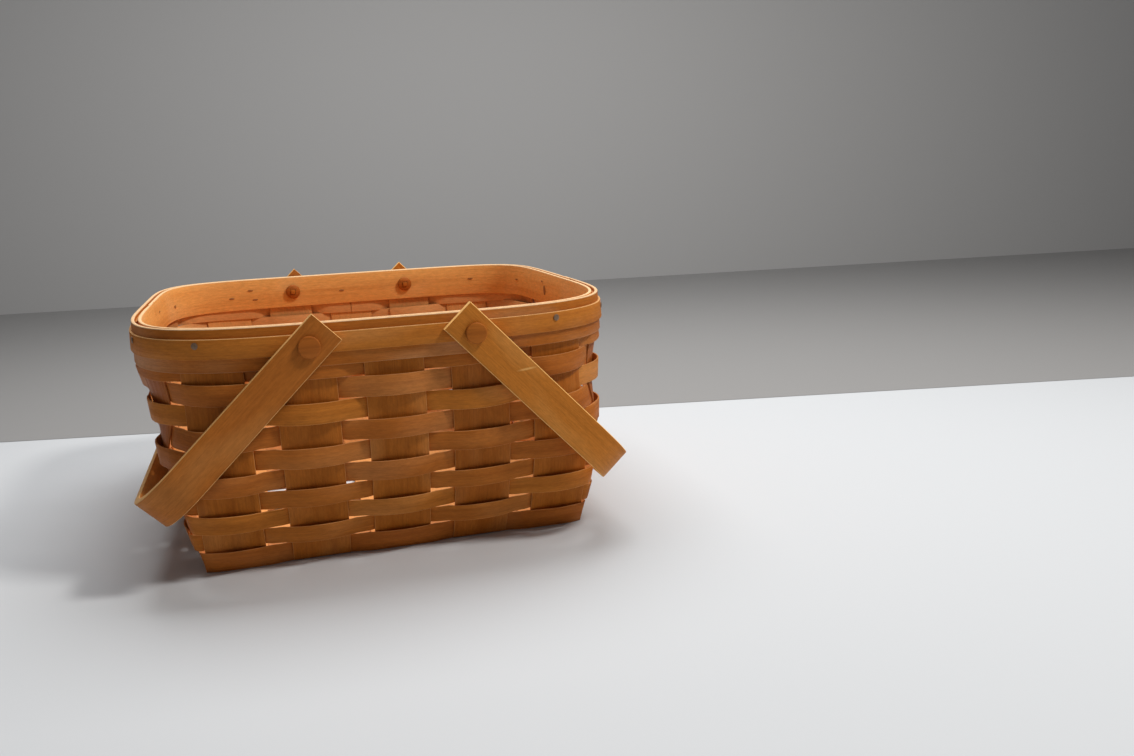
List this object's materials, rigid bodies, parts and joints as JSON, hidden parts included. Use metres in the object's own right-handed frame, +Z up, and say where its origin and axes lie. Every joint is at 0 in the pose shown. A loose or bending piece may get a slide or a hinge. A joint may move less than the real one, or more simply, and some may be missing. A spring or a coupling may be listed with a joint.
{
  "type": "splint basket",
  "caption": "Square woven splint basket with a banded rim and bent-wood swing handles pinned to its front and back walls.",
  "frame": {"origin": "under the middle of the base, on the surface that the basket stands on", "axes": "+Z up, +X to the right along the front wall, +Y from the front wall to the back wall"},
  "size_m": [0.3076, 0.3336, 0.1578],
  "materials": {
    "upsplint": "satin stain",
    "weaver": "satin stain",
    "band": "satin stain",
    "trim": "satin stain",
    "handle": "satin stain",
    "pin": "satin stain"
  },
  "bodies": {
    "basket": {"upsplint_front_back_1": "upsplint", "upsplint_front_back_2": "upsplint", "upsplint_front_back_3": "upsplint", "upsplint_front_back_4": "upsplint", "upsplint_front_back_5": "upsplint", "upsplint_end_end_1": "upsplint", "upsplint_end_end_2": "upsplint", "upsplint_end_end_3": "upsplint", "upsplint_end_end_4": "upsplint", "upsplint_end_end_5": "upsplint", "weaver_01": "weaver", "weaver_02": "weaver", "weaver_03": "weaver", "weaver_04": "weaver", "weaver_05": "weaver", "weaver_06": "weaver", "weaver_07": "weaver", "weaver_08": "weaver", "weaver_09": "weaver", "weaver_10": "weaver", "outer_band": "band", "inner_band": "band", "trim_strip": "trim", "handle_pin_front_left": "pin", "handle_pin_front_right": "pin", "handle_pin_back_left": "pin", "handle_pin_back_right": "pin", "pin_button_front_left": "pin", "pin_button_front_right": "pin", "pin_button_back_left": "pin", "pin_button_back_right": "pin"},
    "left_handle": {"left_handle": "handle"},
    "right_handle": {"right_handle": "handle"}
  },
  "joints": [
    {"name": "left_handle_swing", "type": "hinge", "parent": "basket", "child": "left_handle", "pos_m": [-0.04765, 0, 0.1393], "axis": [0, 1, 0], "range_deg": [-2.8, 149.5]},
    {"name": "right_handle_swing", "type": "hinge", "parent": "basket", "child": "right_handle", "pos_m": [0.04765, 0, 0.1393], "axis": [0, -1, 0], "range_deg": [0, 152.3]}
  ]
}
